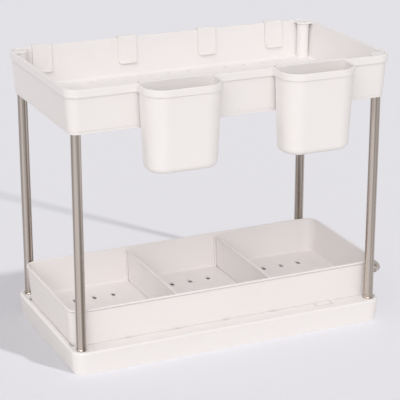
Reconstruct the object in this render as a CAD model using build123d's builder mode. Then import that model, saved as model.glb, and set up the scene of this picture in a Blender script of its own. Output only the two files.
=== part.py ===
from build123d import *
import math
import os

os.makedirs("parts", exist_ok=True)

# Under sink organizer: a base and a tray on four steel posts, with a drawer on the base
# and cups and hooks that hang over the tray's rim. Origin: middle of the base, on the floor.
# +X points to the drawer's handle, -Y to the front, +Z up.

# Whole organizer
overall_width = 400.0
overall_depth = 210.0
overall_height = 335.0
corner_radius = 15.0
running_gap = 0.3  # between pieces that move past each other
socket_gap = 0.1  # round a post, a plug or a handle's pin in its bore
cut_overrun = 8.0  # how far a cut runs past the face that it opens

# Posts
post_inset = 13.0  # from the rims' sides to a post's axis
post_diameter = 11.5
post_wall = 0.8
collar_reach = 0.6
collar_height = 1.2
collar_slope = 0.8

# Base tray
base_height = 28.0
base_inset = 2.9  # how far each side is drawn in at the floor
base_wall = 2.4
base_skin = 2.2
base_rim_width = 4.0
base_rim_round = 2.4
rim_drop = 1.6  # rim to ledge
well_depth = 3.9  # ledge to the floor that the drawer runs on
well_side_gap = 0.7
boss_wall = 2.15
boss_drop = 1.0  # rim to the top of the rings round the posts
socket_floor = 7.0
rib_thickness = 1.8
rib_pitch = 42.0
rib_columns = 9
rib_rows = 5
foot_pad_radius = 14.0
drain_slot_length = 9.5
drain_slot_width = 5.0
drain_slot_pitch = 62.0
drain_slot_count = 4
drain_slot_middle = -32.0  # X of the middle of the row of drain slots
corner_slot_length = 12.0
corner_slot_width = 4.6
corner_slot_setback = 19.5  # from a post's axis to its slot's middle
corner_slot_inset = 9.0
tongue_length = 22.5
tongue_width = 18.0
tongue_slit = 1.0
tongue_middle = 128.0
tongue_inset = 23.0

# Top tray
tray_height = 51.5
tray_inset = 3.7
tray_wall = 2.2
tray_floor = 2.2
tray_foot_height = 2.3
tray_foot_step = 0.4
tray_foot_band = 3.2
tray_floor_round = 3.5
band_reach = 1.1
band_height = 9.2
rim_round = 0.9
column_wall = 1.5  # of the round sleeve over each post
column_shoulder = 4.0  # thickness of the step that rests on the post's end
tray_slot_length = 7.0
tray_slot_width = 3.6
tray_slot_margin_x = 48.8  # from the rims' sides to the middles of the outer slots
tray_slot_margin_y = 19.0
tray_slot_columns = 13
tray_slot_rows = 5

# Corner caps
cap_thickness = 2.0
cap_drop = 0.6  # below the rim
cap_overhang = 0.9  # past the sleeve that the cap closes
cap_corner = 7.5  # rounding of its free corner
cap_round = 0.6
cap_plug_length = 10.0

# Drawer
drawer_end_gap = 3.5  # from the base's side to the drawer's closed end
drawer_end_reach = 4.0  # how far the handle's end stands out past the base's side
drawer_side_gap = 1.25  # drawer's rim to the posts
drawer_depth = 48.7
drawer_corner = 16.0
drawer_wall = 2.2
drawer_floor = 2.0
drawer_recess = 3.0  # hollow under the floor
drawer_foot_band = 3.0  # width of the foot that the hollow leaves
drawer_foot_round = 0.8
drawer_inset = 3.8
lip_reach = 1.0
lip_height = 2.0
lip_round = 0.9
lip_groove_depth = 1.2
lip_groove_height = 1.2
drawer_floor_round = 3.0
floor_slot_length = 10.0  # from front to back
floor_slot_width = 4.8
floor_slot_pitch = 24.8
floor_slot_margin = 41.0  # from the drawer's sides to the outer rows
floor_slot_columns = 3
floor_slot_rows = 3
slot_group_pitch = 128.5
slot_group_count = 3
slot_group_shift = 4.5

# Dividers
divider_x = 61.0
divider_thickness = 1.8
divider_drop = 4.0  # drawer's rim to divider's top
divider_bead_width = 3.4
divider_bead_height = 2.0
divider_foot_gap = 0.6  # drawer's floor to the divider's lower edge
divider_foot_round = 8.0
guide_reach = 2.5
guide_width = 2.0

# Drawer handle
handle_rod = 10.0
handle_centres = 96.0
handle_stand_off = 22.9  # handle pads to the grip's axis
handle_bend = 12.0
handle_drop = 28.5  # drawer's rim to the grip's axis
pad_radius = 7.5
pad_stand = 3.0  # pads' faces beyond the drawer's wall at its top
pin_diameter = 5.0
pin_length = 5.5
pin_end_gap = 0.4

# Hanging cups
cup_width = 93.5
cup_depth = 37.7
cup_rim_drop = 1.0  # below the tray's rim
cup_height = 96.5
cup_inset = 4.7
cup_wall = 1.8
cup_corner = 24.0
cup_foot_round = 7.0
cup_band_height = 8.0
cup_band_reach = 0.8
cup_rim_round = 0.7
cup_back_round = 2.5
cup_left_x = -73.3
cup_right_x = 91.8
flange_width = 88.0
flange_thickness = 1.5
flange_drop = 12.0
flange_root = 7.0
flange_round = 1.0

# Hooks over the back rim
hook_width = 24.0
hook_thickness = 1.6
hook_inner_depth = 31.7  # rim to the foot of the inner leg
hook_lip_reach = 2.2
hook_lip_height = 2.2
hook_plate_depth = 24.0
hook_foot_round = 4.5
hook_arm_width = 14.0
hook_arm_depth = 42.0  # rim to the middle of the bend
hook_bend_radius = 6.5
hook_tip_height = 6.0
hook_tip_round = 4.0
hook_edge_round = 0.9
hook_place_shares = [-0.79, -0.2475, 0.2825, 0.745]  # of half the width, from the middle

# Places that follow from the sizes above
half_width = overall_width / 2
half_depth = overall_depth / 2
post_x = half_width - post_inset
post_y = half_depth - post_inset
post_radius = post_diameter / 2
bore_radius = post_radius + socket_gap
rim_level = overall_height
tray_bottom = rim_level - tray_height
tray_floor_top = tray_bottom + tray_foot_height + tray_floor
tray_lean = tray_inset / tray_height  # how far a wall moves in for each unit down
inner_face = half_depth - band_reach - tray_wall  # the tray's inner wall at the rim
ledge_level = base_height - rim_drop
well_level = ledge_level - well_depth
tray_slot_pitch_x = (overall_width - 2 * tray_slot_margin_x) / (tray_slot_columns - 1)
tray_slot_pitch_y = (overall_depth - 2 * tray_slot_margin_y) / (tray_slot_rows - 1)
drawer_length = overall_width + drawer_end_reach - drawer_end_gap
drawer_width = 2 * (post_y - post_radius - drawer_side_gap)
drawer_shift = (drawer_end_reach + drawer_end_gap) / 2
drawer_bottom = well_level + running_gap
drawer_rim_level = drawer_bottom + drawer_depth
drawer_floor_top = drawer_bottom + drawer_recess + drawer_floor
drawer_body_length = drawer_length - 2 * lip_reach
drawer_body_width = drawer_width - 2 * lip_reach
drawer_foot_length = drawer_body_length - 2 * drawer_inset
drawer_foot_width = drawer_body_width - 2 * drawer_inset
drawer_foot_corner = drawer_corner - lip_reach - drawer_inset
drawer_end = drawer_shift + drawer_body_length / 2
floor_slot_row_pitch = (drawer_width - 2 * floor_slot_margin) / (floor_slot_rows - 1)
pad_face = drawer_end + pad_stand
handle_level = drawer_rim_level - handle_drop
cap_level = rim_level - cap_drop - cap_thickness  # where the caps sit on the columns
post_top = cap_level - column_shoulder
plug_hole_radius = post_radius - post_wall
column_radius = bore_radius + column_wall


def drafted_block(length, width, corner, top, height, inset, plane=Plane.XY):
    """Rounded block, its sides drawn in by inset between its top and its foot."""
    with BuildPart() as block:
        with BuildSketch(plane.offset(top)):
            RectangleRounded(length, width, corner)
        extrude(amount=-height, taper=math.degrees(math.atan2(inset, height)))
    return block.part


def end_view(x, y=0.0, z=0.0):
    """Plane that faces the handle's end, with its own X to the back and its own Y up."""
    return Plane(origin=(x, y, z), x_dir=(0, 1, 0), z_dir=(1, 0, 0))


def corner_outline(reach, rounding):
    """Four squares that fill the rim's corners, each with its free corner rounded."""
    side = post_inset + reach
    with BuildSketch() as outline:
        with Locations((half_width - side / 2, half_depth - side / 2)):
            Rectangle(side, side)
        fillet(outline.vertices().sort_by_distance((0, 0))[0], radius=rounding)
        mirror(about=Plane.YZ)
        mirror(about=Plane.XZ)
    return outline.sketch


# Base tray

well_width = drawer_foot_width + 2 * well_side_gap
well_start = drawer_shift - drawer_foot_length / 2 - well_side_gap
well_end = half_width + cut_overrun
boss_radius = bore_radius + boss_wall
rim_inner_length = overall_width - 2 * base_rim_width
rim_inner_width = overall_depth - 2 * base_rim_width
rim_inner_corner = corner_radius - base_rim_width
skin_under_well = well_level - base_skin
skin_under_ledge = ledge_level - base_skin

with BuildSketch() as well_outline:
    with Locations(((well_start + well_end) / 2, 0)):
        Rectangle(well_end - well_start, well_width)
    fillet(well_outline.vertices().group_by(Axis.X)[0], radius=drawer_foot_corner + well_side_gap)

# Hollow underside, left solid where its ribs, post sockets and middle pad stand
hollow_length = overall_width - 2 * base_wall
hollow_width = overall_depth - 2 * base_wall
hollow_corner = corner_radius - base_wall
hollow_lean = base_inset / base_height
with BuildPart() as base_hollow:
    with BuildSketch(Plane.XY.offset(skin_under_ledge)):
        shrink = 2 * hollow_lean * (base_height - skin_under_ledge)
        RectangleRounded(hollow_length - shrink, hollow_width - shrink, hollow_corner)
    hollow_height = skin_under_ledge + cut_overrun
    extrude(amount=-hollow_height, taper=math.degrees(math.atan(hollow_lean)))
    with BuildSketch(Plane.XY.offset(skin_under_well)):
        add(well_outline.sketch)
        offset(amount=base_skin)
    extrude(amount=base_height, mode=Mode.SUBTRACT)
    with BuildSketch(Plane.XY.offset(-cut_overrun)):
        with GridLocations(2 * post_x, 2 * post_y, 2, 2):
            Circle(boss_radius)
        Circle(foot_pad_radius)
    extrude(amount=base_height + cut_overrun, mode=Mode.SUBTRACT)
    with BuildSketch(Plane.XY.offset(-cut_overrun)):
        with GridLocations(rib_pitch, 0, rib_columns, 1):
            Rectangle(rib_thickness, overall_depth)
        with GridLocations(0, rib_pitch, 1, rib_rows):
            Rectangle(overall_width, rib_thickness)
    extrude(amount=base_height + cut_overrun, mode=Mode.SUBTRACT)

with BuildPart() as base_tray:
    add(drafted_block(overall_width, overall_depth, corner_radius, base_height, base_height, base_inset))
    fillet(base_tray.faces().sort_by(Axis.Z)[-1].edges(), radius=base_rim_round)
    # Ledge inside the rim, with a ring left standing round each post
    with BuildSketch(Plane.XY.offset(ledge_level)):
        RectangleRounded(rim_inner_length, rim_inner_width, rim_inner_corner)
        with GridLocations(2 * post_x, 2 * post_y, 2, 2):
            Circle(boss_radius, mode=Mode.SUBTRACT)
    extrude(amount=rim_drop + cut_overrun, mode=Mode.SUBTRACT)
    with BuildSketch(Plane.XY.offset(base_height - boss_drop)):
        with GridLocations(2 * post_x, 2 * post_y, 2, 2):
            Circle(boss_radius)
    extrude(amount=cut_overrun, mode=Mode.SUBTRACT)
    # Well that the drawer runs in, open at the handle's end
    with BuildSketch(Plane.XY.offset(well_level)):
        add(well_outline.sketch)
    extrude(amount=base_height, mode=Mode.SUBTRACT)
    add(base_hollow.part, mode=Mode.SUBTRACT)
    # Sockets for the posts
    with BuildSketch(Plane.XY.offset(socket_floor)):
        with GridLocations(2 * post_x, 2 * post_y, 2, 2):
            Circle(bore_radius)
    extrude(amount=base_height, mode=Mode.SUBTRACT)
    # Drain slots along both ledges and behind the two posts at the closed end
    with BuildSketch():
        with Locations((drain_slot_middle, 0)):
            with GridLocations(drain_slot_pitch, well_width - drain_slot_width / 2, drain_slot_count, 2):
                SlotOverall(drain_slot_length, drain_slot_width)
        with Locations((corner_slot_inset - half_width, 0)):
            with GridLocations(0, 2 * (post_y - corner_slot_setback), 1, 2):
                SlotOverall(corner_slot_length, corner_slot_width, rotation=90)
    extrude(amount=base_height, mode=Mode.SUBTRACT)
    # Spring tongue in the front ledge, cut free on three sides
    with BuildSketch():
        with Locations((tongue_middle, tongue_inset - half_depth)):
            Rectangle(tongue_length, tongue_width)
            with Locations((0, tongue_slit)):
                Rectangle(tongue_length - 2 * tongue_slit, tongue_width, mode=Mode.SUBTRACT)
    extrude(amount=base_height, mode=Mode.SUBTRACT)

base_tray.part.label = "base_tray"
export_step(base_tray.part, "parts/base_tray.step")

# Posts: steel tubes with a flared collar that stands on the socket's ring

collar_level = base_height - boss_drop
post_names = {
    "post_front_left": (-post_x, -post_y),
    "post_front_right": (post_x, -post_y),
    "post_back_left": (-post_x, post_y),
    "post_back_right": (post_x, post_y),
}

for name, (place_x, place_y) in post_names.items():
    with BuildPart() as post:
        with BuildSketch(Plane(origin=(place_x, place_y, 0), x_dir=(1, 0, 0), z_dir=(0, -1, 0))):
            with BuildLine():
                Polyline(
                    (post_radius - post_wall, socket_floor),
                    (post_radius, socket_floor),
                    (post_radius, collar_level),
                    (post_radius + collar_reach, collar_level),
                    (post_radius + collar_reach, collar_level + collar_height),
                    (post_radius, collar_level + collar_height + collar_slope),
                    (post_radius, post_top),
                    (post_radius - post_wall, post_top),
                    close=True,
                )
            make_face()
        revolve(axis=Axis((place_x, place_y, 0), (0, 0, 1)))
    post.part.label = name
    export_step(post.part, f"parts/{name}.step")

# Top tray

cavity_length = overall_width - 2 * (band_reach + tray_wall)
cavity_width = overall_depth - 2 * (band_reach + tray_wall)
cavity_corner = corner_radius - band_reach - tray_wall
cavity_depth = rim_level - tray_floor_top

# A round sleeve over each post, joined to its corner by a square web
with BuildSketch() as column_outline:
    with GridLocations(2 * post_x, 2 * post_y, 2, 2):
        Circle(column_radius)
    with GridLocations(2 * post_x + post_inset, 2 * post_y + post_inset, 2, 2):
        Rectangle(post_inset, post_inset)

with BuildPart() as tray_cavity:
    add(
        drafted_block(
            cavity_length,
            cavity_width,
            cavity_corner,
            rim_level,
            cavity_depth,
            tray_lean * cavity_depth,
        )
    )
    fillet(tray_cavity.faces().sort_by(Axis.Z)[0].edges(), radius=tray_floor_round)
    with BuildSketch(Plane.XY.offset(tray_bottom)):
        add(column_outline.sketch)
    extrude(amount=cap_level - tray_bottom, mode=Mode.SUBTRACT)

with BuildPart() as top_tray:
    add(
        drafted_block(
            overall_width - 2 * band_reach,
            overall_depth - 2 * band_reach,
            corner_radius - band_reach,
            rim_level,
            tray_height,
            tray_inset,
        )
    )
    # Small step in round the foot, and the band that stiffens the rim
    with BuildSketch(Plane.XY.offset(tray_bottom)):
        Rectangle(overall_width, overall_depth)
        foot_shrink = 2 * (band_reach + tray_inset + tray_foot_step)
        RectangleRounded(
            overall_width - foot_shrink,
            overall_depth - foot_shrink,
            corner_radius - foot_shrink / 2,
            mode=Mode.SUBTRACT,
        )
    extrude(amount=tray_foot_band, mode=Mode.SUBTRACT)
    with BuildSketch(Plane.XY.offset(rim_level - band_height)):
        RectangleRounded(overall_width, overall_depth, corner_radius)
    extrude(amount=band_height)
    add(tray_cavity.part, mode=Mode.SUBTRACT)
    fillet(top_tray.faces().sort_by(Axis.Z)[-1].edges(), radius=rim_round)
    # Recess under the floor, round the sockets
    with BuildSketch(Plane.XY.offset(tray_bottom)):
        recess_shrink = foot_shrink + 2 * tray_wall
        RectangleRounded(
            overall_width - recess_shrink,
            overall_depth - recess_shrink,
            corner_radius - recess_shrink / 2,
        )
        add(column_outline.sketch, mode=Mode.SUBTRACT)
    extrude(amount=tray_foot_height, mode=Mode.SUBTRACT)
    with BuildSketch(Plane.XY.offset(tray_bottom)):
        with GridLocations(2 * post_x, 2 * post_y, 2, 2):
            Circle(bore_radius)
    extrude(amount=post_top - tray_bottom, mode=Mode.SUBTRACT)
    with BuildSketch(Plane.XY.offset(tray_bottom)):
        with GridLocations(2 * post_x, 2 * post_y, 2, 2):
            Circle(plug_hole_radius)
    extrude(amount=tray_height, mode=Mode.SUBTRACT)
    with BuildSketch(Plane.XY.offset(tray_bottom)):
        with GridLocations(tray_slot_pitch_x, tray_slot_pitch_y, tray_slot_columns, tray_slot_rows):
            SlotOverall(tray_slot_length, tray_slot_width)
    extrude(amount=tray_height, mode=Mode.SUBTRACT)

top_tray.part.label = "top_tray"
export_step(top_tray.part, "parts/top_tray.step")

# Corner caps: plates that close the columns, each with a plug in its post

cap_outline = corner_outline(column_radius + cap_overhang, cap_corner)
cap_lean = tray_lean * (rim_level - cap_level)
plug_radius = plug_hole_radius - socket_gap

with BuildPart() as corner_caps:
    with BuildSketch(Plane.XY.offset(cap_level)):
        RectangleRounded(
            cavity_length - 2 * (cap_lean + socket_gap),
            cavity_width - 2 * (cap_lean + socket_gap),
            cavity_corner,
        )
        add(cap_outline, mode=Mode.INTERSECT)
    extrude(amount=cap_thickness)
    chamfer(corner_caps.faces().group_by(Axis.Z)[-1].edges(), length=cap_round)
    with BuildSketch(Plane.XY.offset(cap_level)):
        with GridLocations(2 * post_x, 2 * post_y, 2, 2):
            Circle(plug_radius)
    extrude(amount=-(column_shoulder + cap_plug_length))

for cap in corner_caps.part.solids():
    middle = cap.center()
    name = "corner_cap_" + ("front" if middle.Y < 0 else "back") + ("_left" if middle.X < 0 else "_right")
    cap.label = name
    export_step(cap, f"parts/{name}.step")

# Drawer

drawer_lean = drawer_inset / drawer_depth
drawer_inner_length = drawer_body_length - 2 * drawer_wall
drawer_inner_width = drawer_body_width - 2 * drawer_wall
drawer_inner_depth = drawer_rim_level - drawer_floor_top
drawer_plane = Plane(origin=(drawer_shift, 0, 0))
divider_top = drawer_rim_level - divider_drop
guide_gap = divider_thickness + 2 * running_gap
guide_top = divider_top - divider_bead_height - running_gap  # the beads rest on the guides
pad_depth = pad_stand + drawer_lean * handle_drop + drawer_wall / 2  # ends inside the wall


def drawer_inside(gap):
    """Space inside the drawer's walls, kept gap away from them and from the floor."""
    depth = drawer_inner_depth - gap
    with BuildPart() as space:
        add(
            drafted_block(
                drawer_inner_length - 2 * gap,
                drawer_inner_width - 2 * gap,
                drawer_corner - lip_reach - drawer_wall,
                drawer_rim_level,
                depth,
                drawer_lean * depth,
                drawer_plane,
            )
        )
        fillet(space.faces().sort_by(Axis.Z)[0].edges(), radius=drawer_floor_round)
    return space.part


# Four pairs of guides that hold the dividers upright, left standing when the inside is cut
with BuildPart() as divider_guides:
    with BuildSketch(Plane.XY.offset(drawer_bottom)):
        for place in (-divider_x, divider_x):
            with Locations((place, 0)):
                with GridLocations(guide_gap + guide_width, 0, 2, 1):
                    Rectangle(guide_width, drawer_width)
    extrude(amount=guide_top - drawer_bottom)
    add(drawer_inside(guide_reach), mode=Mode.SUBTRACT)
    with BuildSketch(Plane.XY.offset(drawer_bottom)):
        Rectangle(drawer_length, drawer_inner_width - 2 * (drawer_lean * drawer_depth + guide_reach))
    extrude(amount=drawer_depth, mode=Mode.SUBTRACT)

with BuildPart() as drawer_cavity:
    add(drawer_inside(0))
    add(divider_guides.part, mode=Mode.SUBTRACT)

with BuildPart() as drawer:
    add(
        drafted_block(
            drawer_body_length,
            drawer_body_width,
            drawer_corner - lip_reach,
            drawer_rim_level,
            drawer_depth,
            drawer_inset,
            drawer_plane,
        )
    )
    fillet(drawer.faces().sort_by(Axis.Z)[0].edges(), radius=drawer_foot_round)
    with BuildSketch(drawer_plane.offset(drawer_rim_level - lip_height)):
        RectangleRounded(drawer_length, drawer_width, drawer_corner)
    extrude(amount=lip_height)
    add(drawer_cavity.part, mode=Mode.SUBTRACT)
    fillet(drawer.faces().sort_by(Axis.Z)[-1].edges(), radius=lip_round)
    # Groove round the wall, right under the lip
    with BuildSketch(drawer_plane.offset(drawer_rim_level - lip_height)):
        Rectangle(drawer_length, drawer_width)
        RectangleRounded(
            drawer_body_length - 2 * lip_groove_depth,
            drawer_body_width - 2 * lip_groove_depth,
            drawer_corner - lip_reach - lip_groove_depth,
            mode=Mode.SUBTRACT,
        )
    extrude(amount=-lip_groove_height, mode=Mode.SUBTRACT)
    # Pads that the handle's legs stand on, with a blind socket for each leg's pin
    with BuildSketch(end_view(pad_face, 0, handle_level)):
        with GridLocations(handle_centres, 0, 2, 1):
            Circle(pad_radius)
    extrude(amount=-pad_depth)
    with BuildSketch(end_view(pad_face, 0, handle_level)):
        with GridLocations(handle_centres, 0, 2, 1):
            Circle(pin_diameter / 2 + socket_gap)
    extrude(amount=-(pin_length + pin_end_gap), mode=Mode.SUBTRACT)
    # Hollow under the floor, and the slots that drain into it
    with BuildSketch(drawer_plane.offset(drawer_bottom)):
        RectangleRounded(
            drawer_foot_length - 2 * drawer_foot_band,
            drawer_foot_width - 2 * drawer_foot_band,
            drawer_foot_corner - drawer_foot_band,
        )
    extrude(amount=drawer_recess, mode=Mode.SUBTRACT)
    with BuildSketch(Plane.XY.offset(drawer_bottom)):
        with Locations((drawer_shift + slot_group_shift, 0)):
            with GridLocations(slot_group_pitch, 0, slot_group_count, 1):
                with GridLocations(
                    floor_slot_pitch, floor_slot_row_pitch, floor_slot_columns, floor_slot_rows
                ):
                    SlotOverall(floor_slot_length, floor_slot_width, rotation=90)
    extrude(amount=drawer_recess + drawer_floor, mode=Mode.SUBTRACT)

drawer.part.label = "drawer"
export_step(drawer.part, "parts/drawer.step")

# Dividers: plates that hang in their guides by the bead along the top

divider_foot = drawer_floor_top + divider_foot_gap
top_half = drawer_inner_width / 2 - drawer_lean * divider_drop - running_gap
bead_half = top_half - drawer_lean * divider_bead_height
foot_half = top_half - drawer_lean * (divider_top - divider_foot)

for name, place in (("divider_left", -divider_x), ("divider_right", divider_x)):
    with BuildPart() as divider:
        with BuildSketch(end_view(place)) as plate:
            with BuildLine():
                Polyline(
                    (-foot_half, divider_foot),
                    (foot_half, divider_foot),
                    (top_half, divider_top),
                    (-top_half, divider_top),
                    close=True,
                )
            make_face()
            fillet(plate.vertices().group_by(Axis.Y)[0], radius=divider_foot_round)
        extrude(amount=divider_thickness / 2, both=True)
        with BuildSketch(end_view(place)):
            with Locations((0, divider_top - divider_bead_height / 2)):
                Rectangle(2 * bead_half, divider_bead_height)
        extrude(amount=divider_bead_width / 2, both=True)
    divider.part.label = name
    export_step(divider.part, f"parts/{name}.step")

# Drawer handle: a bent steel rod with a pin at each end

grip_x = pad_face + handle_stand_off
leg_y = handle_centres / 2

with BuildPart() as drawer_handle:
    with BuildLine():
        FilletPolyline(
            (pad_face, -leg_y, handle_level),
            (grip_x, -leg_y, handle_level),
            (grip_x, leg_y, handle_level),
            (pad_face, leg_y, handle_level),
            radius=handle_bend,
        )
    with BuildSketch(end_view(pad_face, -leg_y, handle_level)):
        Circle(handle_rod / 2)
    sweep()
    with BuildSketch(end_view(pad_face, 0, handle_level)):
        with GridLocations(handle_centres, 0, 2, 1):
            Circle(pin_diameter / 2)
    extrude(amount=-pin_length)

drawer_handle.part.label = "drawer_handle"
export_step(drawer_handle.part, "parts/drawer_handle.step")

# Hanging cups: a tapered cup whose flat back wall folds over the tray's front rim

cup_rim_level = rim_level - cup_rim_drop
cup_back = -(half_depth + running_gap)
cup_bottom = cup_rim_level - cup_height
cup_block_width = 2 * cup_depth + cup_width  # long enough to run well past the back wall
flange_top = rim_level + running_gap + flange_thickness
lip_face = -(inner_face - running_gap)


def cup_block(middle_x, width, front, corner, bottom, back, foot_round):
    """Tapered block with a rounded foot, cut off flat at its back."""
    length = cup_rim_level - bottom
    middle_y = front + cup_block_width / 2
    with BuildPart() as block:
        add(
            drafted_block(
                width,
                cup_block_width,
                corner,
                cup_rim_level,
                length,
                cup_inset * length / cup_height,
                Plane(origin=(middle_x, middle_y, 0)),
            )
        )
        fillet(block.faces().sort_by(Axis.Z)[0].edges(), radius=foot_round)
        split(bisect_by=Plane.XZ.offset(-back), keep=Keep.TOP)
    return block.part


for name, middle_x in (("cup_left", cup_left_x), ("cup_right", cup_right_x)):
    body_width = cup_width - 2 * cup_band_reach
    body_front = cup_back - cup_depth + cup_band_reach
    body_corner = cup_corner - cup_band_reach
    with BuildPart() as cup:
        add(
            cup_block(
                middle_x,
                body_width,
                body_front,
                body_corner,
                cup_bottom,
                cup_back,
                cup_foot_round,
            )
        )
        back_edges = cup.faces().sort_by(Axis.Y)[-1].edges().sort_by(Axis.Z)[:-1]
        fillet(back_edges, radius=cup_back_round)
        # Band round the rim
        with BuildSketch(Plane(origin=(middle_x, 0, cup_rim_level - cup_band_height))):
            with Locations((0, cup_back - cup_depth + cup_block_width / 2)):
                RectangleRounded(cup_width, cup_block_width, cup_corner)
            with Locations((0, cup_back + cup_block_width / 2)):
                Rectangle(2 * cup_width, cup_block_width, mode=Mode.SUBTRACT)
        extrude(amount=cup_band_height)
        add(
            cup_block(
                middle_x,
                body_width - 2 * cup_wall,
                body_front + cup_wall,
                body_corner - cup_wall,
                cup_bottom + cup_wall,
                cup_back - cup_wall,
                cup_foot_round - cup_wall,
            ),
            mode=Mode.SUBTRACT,
        )
        fillet(cup.faces().sort_by(Axis.Z)[-1].edges(), radius=cup_rim_round)
        # Flange over the rim, its inner lip leaning like the tray's wall
        with BuildSketch(end_view(middle_x)) as flange:
            with BuildLine():
                Polyline(
                    (cup_back - cup_wall, cup_rim_level - flange_root),
                    (cup_back - cup_wall, flange_top),
                    (lip_face + flange_thickness, flange_top),
                    (lip_face + flange_thickness + tray_lean * flange_drop, rim_level - flange_drop),
                    (lip_face + tray_lean * flange_drop, rim_level - flange_drop),
                    (lip_face, rim_level + running_gap),
                    (cup_back, rim_level + running_gap),
                    (cup_back, cup_rim_level - flange_root),
                    close=True,
                )
            make_face()
            fillet(flange.vertices().group_by(Axis.Y)[-1], radius=flange_round)
        extrude(amount=flange_width / 2, both=True)
    cup.part.label = name
    export_step(cup.part, f"parts/{name}.step")

# Hooks: a plate inside the back wall, a bridge over the rim and a J-shaped arm behind

leg_face = inner_face - running_gap
arm_face = half_depth + running_gap
leg_foot = rim_level - hook_inner_depth
leg_foot_face = leg_face - tray_lean * hook_inner_depth
bridge_bottom = rim_level + running_gap
bridge_top = bridge_bottom + hook_thickness
bend_y = arm_face + hook_thickness + hook_bend_radius
bend_z = rim_level - hook_arm_depth
bend_outer = hook_bend_radius + hook_thickness
leg_room_face = leg_foot_face - hook_thickness
plate_foot = rim_level - hook_plate_depth
arm_root = rim_level - hook_plate_depth / 2

for number, share in enumerate(hook_place_shares, start=1):
    name = f"hook_{number}"
    place = share * half_width
    front_view = Plane(origin=(place, arm_face, 0), x_dir=(1, 0, 0), z_dir=(0, -1, 0))
    # Fronts of the two plates, with their lower corners rounded
    with BuildPart() as plates:
        with BuildSketch(front_view) as plate_front:
            with Locations((0, (leg_foot + bridge_top) / 2)):
                Rectangle(hook_width, bridge_top - leg_foot)
            fillet(plate_front.vertices().group_by(Axis.Y)[0], radius=hook_foot_round)
        extrude(amount=hook_inner_depth)
        with BuildSketch(front_view) as plate_back:
            with Locations((0, (plate_foot + bridge_top) / 2)):
                Rectangle(hook_width, bridge_top - plate_foot)
            fillet(plate_back.vertices().group_by(Axis.Y)[0], radius=hook_foot_round)
        extrude(amount=-hook_inner_depth)
    with BuildPart() as hook:
        with BuildSketch(end_view(place)) as hook_side:
            with BuildLine():
                Polyline(
                    (leg_foot_face, leg_foot),
                    (leg_face, bridge_bottom),
                    (arm_face, bridge_bottom),
                    (arm_face, plate_foot),
                    (arm_face + hook_thickness, plate_foot),
                    (arm_face + hook_thickness, bridge_top),
                    (leg_face - hook_thickness, bridge_top),
                    (leg_room_face + tray_lean * hook_lip_height, leg_foot + hook_lip_height),
                    (leg_room_face - hook_lip_reach, leg_foot + hook_lip_height),
                    (leg_room_face - hook_lip_reach, leg_foot),
                    close=True,
                )
            make_face()
            fillet(hook_side.vertices().group_by(Axis.Y)[-1], radius=hook_edge_round)
            fillet(hook_side.vertices().sort_by(Axis.X)[0:2], radius=hook_edge_round)
        extrude(amount=hook_width / 2, both=True)
        add(plates.part, mode=Mode.INTERSECT)
        with BuildSketch(end_view(place)):
            with BuildLine():
                Polyline(
                    (arm_face + hook_thickness, bend_z),
                    (arm_face + hook_thickness, arm_root),
                    (arm_face, arm_root),
                    (arm_face, bend_z),
                )
                CenterArc((bend_y, bend_z), bend_outer, 180, 180)
                Polyline(
                    (bend_y + bend_outer, bend_z),
                    (bend_y + bend_outer, bend_z + hook_tip_height),
                    (bend_y + hook_bend_radius, bend_z + hook_tip_height),
                    (bend_y + hook_bend_radius, bend_z),
                )
                CenterArc((bend_y, bend_z), hook_bend_radius, 180, 180)
            make_face()
        extrude(amount=hook_arm_width / 2, both=True)
        tip = hook.faces().filter_by(Axis.Z).sort_by(Axis.Y)[-1]
        fillet(tip.edges().filter_by(Axis.Y), radius=hook_tip_round)
    hook.part.label = name
    export_step(hook.part, f"parts/{name}.step")
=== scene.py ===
import math
import bpy
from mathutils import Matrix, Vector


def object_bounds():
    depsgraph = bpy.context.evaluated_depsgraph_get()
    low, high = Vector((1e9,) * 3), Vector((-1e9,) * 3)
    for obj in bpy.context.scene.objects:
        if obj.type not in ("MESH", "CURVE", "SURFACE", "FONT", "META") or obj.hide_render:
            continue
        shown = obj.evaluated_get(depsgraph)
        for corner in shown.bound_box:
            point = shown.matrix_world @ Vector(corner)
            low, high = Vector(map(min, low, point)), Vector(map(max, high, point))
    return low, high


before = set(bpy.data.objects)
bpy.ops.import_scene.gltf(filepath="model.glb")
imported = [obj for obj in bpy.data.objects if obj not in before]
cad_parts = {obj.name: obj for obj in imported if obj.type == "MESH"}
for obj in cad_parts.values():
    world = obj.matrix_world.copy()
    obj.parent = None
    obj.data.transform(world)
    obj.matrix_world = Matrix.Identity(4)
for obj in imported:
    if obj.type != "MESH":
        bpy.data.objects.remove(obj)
cadLow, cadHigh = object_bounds()

# Lengths are in metres and angles in degrees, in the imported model's own frame.

noiseMiddle = 0.5  # the level that a noise swings about


class Wire:
    # one output of a node, so that shader maths reads as plain sums
    def __init__(self, finish, socket):
        self.finish, self.socket = finish, socket

    def maths(self, operation, first, second):
        return self.finish.node("ShaderNodeMath", {"operation": operation}, {0: first, 1: second})

    def __add__(self, other):
        return self.maths("ADD", self, other)

    def __radd__(self, other):
        return self.maths("ADD", other, self)

    def __sub__(self, other):
        return self.maths("SUBTRACT", self, other)

    def __rsub__(self, other):
        return self.maths("SUBTRACT", other, self)

    def __mul__(self, other):
        return self.maths("MULTIPLY", self, other)

    def __rmul__(self, other):
        return self.maths("MULTIPLY", other, self)


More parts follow.
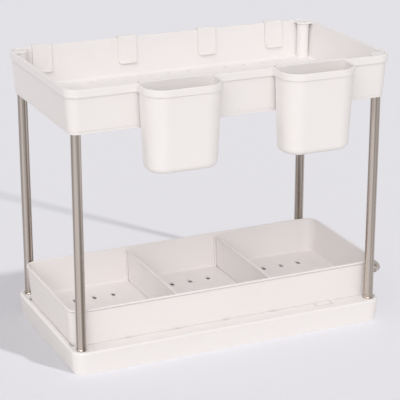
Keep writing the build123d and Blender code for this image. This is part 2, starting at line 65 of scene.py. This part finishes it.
class Finish:
    # the nodes of one material, or of the room's light
    def __init__(self, owner, shaderName="Principled BSDF"):
        owner.use_nodes = True
        self.owner, self.tree = owner, owner.node_tree
        self.shader = self.tree.nodes[shaderName]

    def node(self, kind, settings=None, sockets=None, output=0):
        made = self.tree.nodes.new(kind)
        for name, value in (settings or {}).items():
            if name == "stops":
                self.setStops(made.color_ramp, value)
            else:
                setattr(made, name, value)
        for name, value in (sockets or {}).items():
            self.feed(made.inputs[name], value)
        return Wire(self, made.outputs[output])

    def feed(self, socket, value):
        if isinstance(value, Wire):
            self.tree.links.new(value.socket, socket)
        elif socket.type == "RGBA":
            socket.default_value = (*value, 1.0)
        else:
            socket.default_value = value

    def setStops(self, ramp, stops):
        while len(ramp.elements) < len(stops):
            ramp.elements.new(1.0)
        for element, (place, level) in zip(ramp.elements, stops):
            element.position = place
            element.color = (level, level, level, 1.0)

    def shade(self, **sockets):
        for name, value in sockets.items():
            self.feed(self.shader.inputs[name.replace("_", " ")], value)

    def noise(self, place, size, detail, stretch=(1.0, 1.0, 1.0), seed=0.0):
        scaled = self.node("ShaderNodeMapping", None, {"Vector": place, "Scale": stretch})
        sockets = {"Vector": scaled, "W": seed, "Scale": 1.0 / size, "Detail": detail}
        return self.node("ShaderNodeTexNoise", {"noise_dimensions": "4D"}, sockets)

    def ramp(self, value, *stops):
        return self.node("ShaderNodeValToRGB", {"stops": stops}, {"Fac": value})

    def mixColours(self, factor, first, second):
        # 6 and 7 are the Mix node's two colours, and 2 is its mixed one
        sockets = {"Factor": factor, 6: first, 7: second}
        return self.node("ShaderNodeMix", {"data_type": "RGBA", "clamp_factor": True}, sockets, 2)

    def bump(self, height, strength, distance, **normal):
        sockets = {"Strength": strength, "Distance": distance, "Height": height, **normal}
        return self.node("ShaderNodeBump", None, sockets)

    def seen(self):
        # 1 where the camera or a reflection looks, 0 where only light is gathered
        straight = self.node("ShaderNodeLightPath", output="Is Camera Ray")
        reflected = self.node("ShaderNodeLightPath", output="Is Glossy Ray")
        return straight + reflected


def dress(names, finish):
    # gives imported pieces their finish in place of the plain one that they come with
    for name in names:
        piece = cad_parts[name]
        piece.data.materials.clear()
        piece.data.materials.append(finish.owner)


# Moulded plastic: a fine spark-eroded grain, faint flow mottling and rounded edges lightened in colour as
# a painted highlight
def mouldedPlastic(name, look):
    finish = Finish(bpy.data.materials.new(name))
    place = finish.node("ShaderNodeTexCoord", output="Object")
    mottle = finish.noise(place, look["mottleSize"], look["mottleDetail"])
    flow = finish.noise(place, look["flowSize"], look["flowDetail"], look["flowStretch"])
    grain = finish.noise(place, look["grainSize"], look["grainDetail"])
    rounded = finish.node(
        "ShaderNodeBevel", {"samples": look["edgeSamples"]}, {"Radius": look["edgeRadius"]}
    )
    flat = finish.node("ShaderNodeNewGeometry", output="True Normal")
    facing = finish.node(
        "ShaderNodeVectorMath", {"operation": "DOT_PRODUCT"}, {0: rounded, 1: flat}, "Value"
    )
    edge = finish.ramp(facing, (look["edgeStart"], 1.0), (1.0, 0.0))
    low, high = look["mottleRange"]
    tone = finish.mixColours(finish.ramp(mottle, (low, 0.0), (high, 1.0)), look["shade"], look["colour"])
    roughness = look["roughness"] + look["roughnessSpread"] * (flow - noiseMiddle)
    finish.shade(
        # the rounded edges are lightened in colour: a painted highlight
        Base_Color=finish.mixColours(edge * look["edgeHighlightLift"], tone, look["edgeHighlightColour"]),
        Roughness=roughness - look["edgePolish"] * edge,
        IOR=look["IOR"],
        Normal=finish.bump(grain, look["grainStrength"], look["grainHeight"], Normal=rounded),
    )
    return finish


# Base and top tray
plasticLook = {
    "colour": (0.88, 0.853, 0.85),
    "shade": (0.865, 0.836, 0.832),
    "mottleSize": 0.05,
    "mottleDetail": 3.0,
    "mottleRange": (0.3, 0.7),  # noise levels for the full shade and the full colour
    # colour of the painted highlight on the rounded edges
    "edgeHighlightColour": (0.93, 0.89, 0.88),
    "edgeHighlightLift": 0.5,
    "edgeStart": 0.8,
    "edgePolish": 0.06,
    "edgeRadius": 0.0005,
    "edgeSamples": 4,
    "grainSize": 0.0007,
    "grainDetail": 1.0,
    "grainStrength": 0.25,
    "grainHeight": 0.00004,
    "flowSize": 0.03,
    "flowDetail": 2.0,
    "flowStretch": (0.35, 1.0, 1.0),
    "roughness": 0.42,
    "roughnessSpread": 0.16,
    "IOR": 1.49,
}
dress(["base_tray", "top_tray"], mouldedPlastic("whiteTrayPlastic", plasticLook))

drawerLook = {
    **plasticLook,
    "colour": (0.885, 0.85, 0.845),
    "shade": (0.873, 0.838, 0.832),
    "flowStretch": (1.0, 0.5, 1.0),
}
drawerNames = ["drawer", "divider_left", "divider_right"]
dress(drawerNames, mouldedPlastic("whiteDrawerPlastic", drawerLook))

capNames = [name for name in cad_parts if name.startswith("corner_cap")]
dress(capNames, mouldedPlastic("whiteCapPlastic", plasticLook))

cupLook = {
    **plasticLook,
    "colour": (0.89, 0.86, 0.855),
    "shade": (0.878, 0.847, 0.841),
    "roughness": 0.36,
}
dress(["cup_left", "cup_right"], mouldedPlastic("whiteCupPlastic", cupLook))

hookLook = {
    **plasticLook,
    "colour": (0.89, 0.86, 0.855),
    "mottleSize": 0.02,
    "roughness": 0.34,
}
hookNames = [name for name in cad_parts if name.startswith("hook")]
dress(hookNames, mouldedPlastic("whiteHookPlastic", hookLook))
print("plastic finishes made")


# Steel drawn into tube and rod: painted reflection stripes along the metal, over fine polishing rings
def polishedSteel(name, look):
    finish = Finish(bpy.data.materials.new(name))
    place = finish.node("ShaderNodeTexCoord", output="Object")
    reflectionStripe = finish.noise(
        place, look["reflectionStripeWidth"], look["reflectionStripeDetail"], look["along"], look["reflectionStripeSeed"]
    )
    ring = finish.noise(place, look["ringWidth"], look["ringDetail"], look["across"])
    low, high = look["reflectionStripeRange"]
    # the metal's colour swings in stripes between a dark and a bright tone: painted reflections
    tone = finish.mixColours(finish.ramp(reflectionStripe, (low, 0.0), (high, 1.0)), look["paintedReflectionDark"], look["paintedReflectionBright"])
    finish.shade(
        Base_Color=tone,
        Metallic=1.0,
        Roughness=look["roughness"] + look["roughnessSpread"] * (ring - noiseMiddle),
        Normal=finish.bump(ring, look["ringStrength"], look["ringHeight"]),
    )
    return finish


# Posts: each has its own seed, so that its painted reflection stripes fall as in the photograph
postSeeds = {
    "post_front_left": 33.3,
    "post_front_right": 22.2,
    "post_back_left": 29.6,
    "post_back_right": 0.0,
}
tubeLook = {
    # the bright and the dark tone of the painted reflection stripes
    "paintedReflectionBright": (0.675, 0.602, 0.534),
    "paintedReflectionDark": (0.262, 0.223, 0.19),
    "reflectionStripeWidth": 0.0032,
    "reflectionStripeDetail": 2.0,
    "reflectionStripeRange": (0.38, 0.6),  # noise levels for the full painted dark and the full painted bright reflection
    "along": (1.0, 1.0, 0.004),
    "ringWidth": 0.0004,
    "ringDetail": 1.0,
    "ringStrength": 0.2,
    "ringHeight": 0.00002,
    "across": (0.1, 0.1, 1.0),
    "roughness": 0.26,
    "roughnessSpread": 0.1,
}
for postName, seed in postSeeds.items():
    dress([postName], polishedSteel("polishedTubeSteel", {**tubeLook, "reflectionStripeSeed": seed}))

# Handle: its grip runs from front to back
handleLook = {
    **tubeLook,
    "reflectionStripeSeed": 0.0,
    "along": (1.0, 0.02, 1.0),
    "across": (1.0, 0.1, 0.1),
}
dress(["drawer_handle"], polishedSteel("polishedRodSteel", handleLook))
print("steel finishes made")

# Floor: light leaves it warm and pale, and it is seen in the backdrop's cooler grey
floorLook = {
    "bounceColour": (0.93, 0.91, 0.9),
    "bounceGlow": (0.0, 0.0, 0.0),
    "seenColour": (0.775, 0.77, 0.81),
    "seenGlow": (0.15, 0.149, 0.16),
    "roughness": 0.95,
    "side": 12.0,  # reaches past the view on every side
    "drop": 0.0001,  # under the base
}


def paleFloor(look):
    half = look["side"] / 2
    mesh = bpy.data.meshes.new("paleFloor")
    corners = [(-half, -half), (half, -half), (half, half), (-half, half)]
    mesh.from_pydata([(x, y, cadLow.z - look["drop"]) for x, y in corners], [], [(0, 1, 2, 3)])
    floor = bpy.data.objects.new("paleFloor", mesh)
    bpy.context.scene.collection.objects.link(floor)
    finish = Finish(bpy.data.materials.new("palePaper"))
    seen = finish.seen()
    finish.shade(
        Base_Color=finish.mixColours(seen, look["bounceColour"], look["seenColour"]),
        Roughness=look["roughness"],
        Specular_IOR_Level=0.0,
        Emission_Color=finish.mixColours(seen, look["bounceGlow"], look["seenGlow"]),
        Emission_Strength=1.0,
    )
    mesh.materials.append(finish.owner)
    return floor


floor = paleFloor(floorLook)

# Room: soft light all round, seen as the same grey as the floor
roomLook = {
    "colour": (1.0, 0.985, 0.97),
    "strength": 0.53,
    "seenColour": (0.775, 0.768, 0.807),
}


def paleRoom(look):
    world = bpy.data.worlds.new("paleRoom")
    bpy.context.scene.world = world
    room = Finish(world, "Background")
    room.shade(Color=look["colour"], Strength=look["strength"])
    backdrop = room.node("ShaderNodeBackground", None, {"Color": look["seenColour"]})
    light = Wire(room, room.shader.outputs["Background"])
    mixed = room.node("ShaderNodeMixShader", None, {0: room.seen(), 1: light, 2: backdrop})
    room.feed(room.tree.nodes["World Output"].inputs["Surface"], mixed)


paleRoom(roomLook)

# Lamps: two broad ones at the left of the front light the pieces, and a low one at the right
# lights only the floor. Bearings turn from the front towards the handle's end.
lampLooks = {
    "keyLamp": {
        "strength": 1.2,
        "colour": (1.0, 0.985, 0.972),
        "bearing": -20.0,
        "height": 32.0,
        "spread": 50.0,
    },
    "sideLamp": {
        "strength": 0.55,
        "colour": (1.0, 0.985, 0.972),
        "bearing": -60.0,
        "height": 46.0,
        "spread": 50.0,
    },
    "shadowLamp": {
        "strength": 2.2,
        "colour": (1.0, 1.0, 1.0),
        "bearing": 31.5,
        "height": 22.5,
        "spread": 3.5,
        "passes": ["post_front_right"],  # throws no streak over the floor
    },
}


def lampGroup(name, members, state):
    group = bpy.data.collections.new(name)
    for member in members:
        group.objects.link(member)
    for link in group.collection_objects:
        link.light_linking.link_state = state
    return group


def studioLamp(name, look, floor):
    data = bpy.data.lights.new(name, "SUN")
    data.energy, data.color, data.angle = look["strength"], look["colour"], math.radians(look["spread"])
    lamp = bpy.data.objects.new(name, data)
    lamp.rotation_euler = (math.pi / 2 - math.radians(look["height"]), 0.0, math.radians(look["bearing"]))
    bpy.context.scene.collection.objects.link(lamp)
    linking = lamp.light_linking
    if "passes" in look:
        posts = [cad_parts[post] for post in look["passes"]]
        linking.receiver_collection = lampGroup(name + "Reach", [floor], "INCLUDE")
        linking.blocker_collection = lampGroup(name + "Passes", posts, "EXCLUDE")
    else:
        linking.receiver_collection = lampGroup(name + "Reach", [floor], "EXCLUDE")


for lampName, lampLook in lampLooks.items():
    studioLamp(lampName, lampLook, floor)
print("floor and light made")

# Camera: in front and to the left, above the top tray
cameraLook = {
    "place": (-0.72033, -1.59719, 0.76419),
    "turn": 24.342,  # to the right of straight ahead
    "tilt": 19.287,  # down from level
    "focalPixels": 1538.1,
    "framePixels": 400.0,
    "nearest": 0.1,
    "farthest": 30.0,
}


def photoCamera(look):
    data = bpy.data.cameras.new("photoCamera")
    data.lens = look["focalPixels"] / look["framePixels"] * data.sensor_width
    data.clip_start, data.clip_end = look["nearest"], look["farthest"]
    camera = bpy.data.objects.new("photoCamera", data)
    camera.location = look["place"]
    camera.rotation_euler = (math.pi / 2 - math.radians(look["tilt"]), 0.0, -math.radians(look["turn"]))
    bpy.context.scene.collection.objects.link(camera)
    bpy.context.scene.camera = camera


photoCamera(cameraLook)
bpy.context.scene.view_settings.view_transform = "Standard"
print("camera made")
